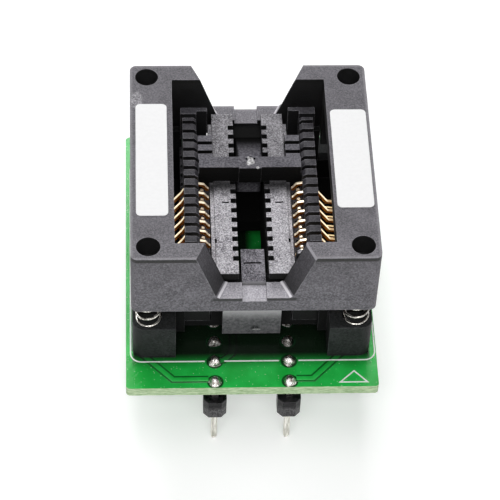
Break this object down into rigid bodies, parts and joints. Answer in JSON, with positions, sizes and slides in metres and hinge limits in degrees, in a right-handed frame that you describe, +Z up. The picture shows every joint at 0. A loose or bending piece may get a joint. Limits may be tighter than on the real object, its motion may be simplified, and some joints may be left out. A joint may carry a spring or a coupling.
{
  "type": "ic test socket",
  "caption": "Open-top chip test socket on a pin adapter board: pressing the sprung frame swings the rows of gold contacts open so that a small-outline chip drops in.",
  "frame": {"origin": "middle of the socket, at the plane of the header pins' tips", "axes": "+Z up out of the socket, +Y along the board away from the loaded contacts, +X to the right"},
  "size_m": [0.0258, 0.035, 0.0258],
  "materials": {
    "green_solder_mask": "gloss solder mask over glass-fibre board",
    "header_plastic": "matt moulded insulator",
    "tinned_pin": "tin-plated square wire",
    "solder": "bright solder",
    "base_plastic": "spark-textured moulding",
    "insert_plastic": "matt moulding",
    "frame_plastic": "fine matt moulding",
    "label_film": "bare printed-label film",
    "spring_wire": "drawn spring wire",
    "gold_contact": "gold-plated stamping"
  },
  "bodies": {
    "base": {"circuit_board": "green_solder_mask", "left_header": "header_plastic", "right_header": "header_plastic", "left_header_pins": "tinned_pin", "right_header_pins": "tinned_pin", "left_solder_joints": "solder", "right_solder_joints": "solder", "socket_base": "base_plastic", "left_contact_block": "base_plastic", "right_contact_block": "base_plastic", "stop_insert": "insert_plastic", "front_left_spring": "spring_wire", "front_right_spring": "spring_wire", "rear_left_spring": "spring_wire", "rear_right_spring": "spring_wire", "left_contact_1": "gold_contact", "left_contact_2": "gold_contact", "left_contact_3": "gold_contact", "left_contact_4": "gold_contact", "left_contact_5": "gold_contact", "left_contact_6": "gold_contact", "left_contact_7": "gold_contact", "left_contact_8": "gold_contact", "right_contact_1": "gold_contact", "right_contact_2": "gold_contact", "right_contact_3": "gold_contact", "right_contact_4": "gold_contact", "right_contact_5": "gold_contact", "right_contact_6": "gold_contact", "right_contact_7": "gold_contact", "right_contact_8": "gold_contact"},
    "frame": {"press_frame": "frame_plastic", "left_label": "label_film", "right_label": "label_film"},
    "left_arms": {"left_contact_arm_1": "gold_contact", "left_contact_arm_2": "gold_contact", "left_contact_arm_3": "gold_contact", "left_contact_arm_4": "gold_contact", "left_contact_arm_5": "gold_contact", "left_contact_arm_6": "gold_contact", "left_contact_arm_7": "gold_contact", "left_contact_arm_8": "gold_contact"},
    "right_arms": {"right_contact_arm_1": "gold_contact", "right_contact_arm_2": "gold_contact", "right_contact_arm_3": "gold_contact", "right_contact_arm_4": "gold_contact", "right_contact_arm_5": "gold_contact", "right_contact_arm_6": "gold_contact", "right_contact_arm_7": "gold_contact", "right_contact_arm_8": "gold_contact"}
  },
  "joints": [
    {"name": "frame_press", "type": "slide", "parent": "base", "child": "frame", "axis": [0, 0, -1], "range_m": [0, 0.002], "stiffness_N_per_m": 4000, "springref_m": -0.002, "deforming": ["front_left_spring", "front_right_spring", "rear_left_spring", "rear_right_spring"]},
    {"name": "left_arm_swing", "type": "hinge", "parent": "base", "child": "left_arms", "pos_m": [-0.0065, 0, 0.0184], "axis": [0, -1, 0], "range_deg": [0, 25]},
    {"name": "right_arm_swing", "type": "hinge", "parent": "base", "child": "right_arms", "pos_m": [0.0065, 0, 0.0184], "axis": [0, 1, 0], "range_deg": [0, 25]}
  ],
  "couplings": [
    {"joint": "left_arm_swing", "follows": "frame_press", "rad_per_m": 218},
    {"joint": "right_arm_swing", "follows": "frame_press", "rad_per_m": 218}
  ]
}
